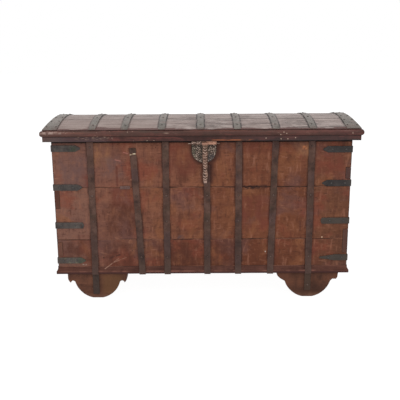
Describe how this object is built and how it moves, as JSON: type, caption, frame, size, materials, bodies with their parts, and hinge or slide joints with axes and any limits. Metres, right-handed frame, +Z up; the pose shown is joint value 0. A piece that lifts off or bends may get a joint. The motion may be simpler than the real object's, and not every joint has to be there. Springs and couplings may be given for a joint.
{
  "type": "console chest",
  "caption": "Iron-bound plank console chest with a low domed hinged lid, moulded rim, hinged hasp, corner straps and half-moon bracket feet.",
  "frame": {"origin": "on the floor, under the middle of the overall box with the lid closed", "axes": "+Z up, the front with the hasp faces -Y, +X to the right for someone facing the front"},
  "size_m": [1.483, 0.558, 0.8774],
  "materials": {
    "body_wood": "worn oiled reddish teak",
    "rim_wood": "dark worn varnish",
    "lid_wood": "weathered grey",
    "foot_wood": "worn oiled teak",
    "strap_iron": "forged, rusted and waxed",
    "corner_iron": "forged, dark blue-grey",
    "brass": "tarnished"
  },
  "bodies": {
    "chest": {"back_plank_lower": "body_wood", "back_plank_middle": "body_wood", "back_plank_upper": "body_wood", "base_moulding_front": "rim_wood", "base_moulding_left": "rim_wood", "base_moulding_right": "rim_wood", "chest_nails": "strap_iron", "corner_straps_back_left": "corner_iron", "corner_straps_back_right": "corner_iron", "corner_straps_front_left": "corner_iron", "corner_straps_front_right": "corner_iron", "floor_board_back": "body_wood", "floor_board_front": "body_wood", "foot_back_left": "foot_wood", "foot_back_right": "foot_wood", "foot_front_left": "foot_wood", "foot_front_right": "foot_wood", "front_plank_lower": "body_wood", "front_plank_middle": "body_wood", "front_plank_upper": "body_wood", "front_strap_1": "strap_iron", "front_strap_2": "strap_iron", "front_strap_3": "strap_iron", "front_strap_4": "strap_iron", "front_strap_5": "strap_iron", "front_strap_6": "strap_iron", "front_strap_7": "strap_iron", "hinge_leaf_1": "strap_iron", "hinge_leaf_2": "strap_iron", "hinge_leaf_3": "strap_iron", "hinge_pins": "strap_iron", "left_end_plank_lower": "body_wood", "left_end_plank_upper": "body_wood", "lock_plate": "corner_iron", "right_end_plank_lower": "body_wood", "right_end_plank_upper": "body_wood", "runner_left": "foot_wood", "runner_right": "foot_wood", "seam_cleat": "strap_iron"},
    "lid": {"hasp_hinge": "brass", "hasp_pin": "brass", "lid_band_left": "strap_iron", "lid_band_right": "strap_iron", "lid_end_left": "lid_wood", "lid_end_right": "lid_wood", "lid_hinge_strap_1": "strap_iron", "lid_hinge_strap_2": "strap_iron", "lid_hinge_strap_3": "strap_iron", "lid_nails": "strap_iron", "lid_rail_back": "rim_wood", "lid_rail_front": "rim_wood", "lid_rail_left": "rim_wood", "lid_rail_right": "rim_wood", "lid_stave_1": "lid_wood", "lid_stave_2": "lid_wood", "lid_stave_3": "lid_wood", "lid_stave_4": "lid_wood", "lid_straps": "strap_iron"},
    "hasp": {"hasp": "brass"}
  },
  "joints": [
    {"name": "lid_hinge", "type": "hinge", "parent": "chest", "child": "lid", "pos_m": [0, 0.27095, 0.773], "axis": [-1, 0, 0], "range_deg": [0, 100]},
    {"name": "hasp_hinge", "type": "hinge", "parent": "lid", "child": "hasp", "pos_m": [0.0155, -0.25945, 0.7631], "axis": [-1, 0, 0], "range_deg": [-8.5, 110]}
  ]
}
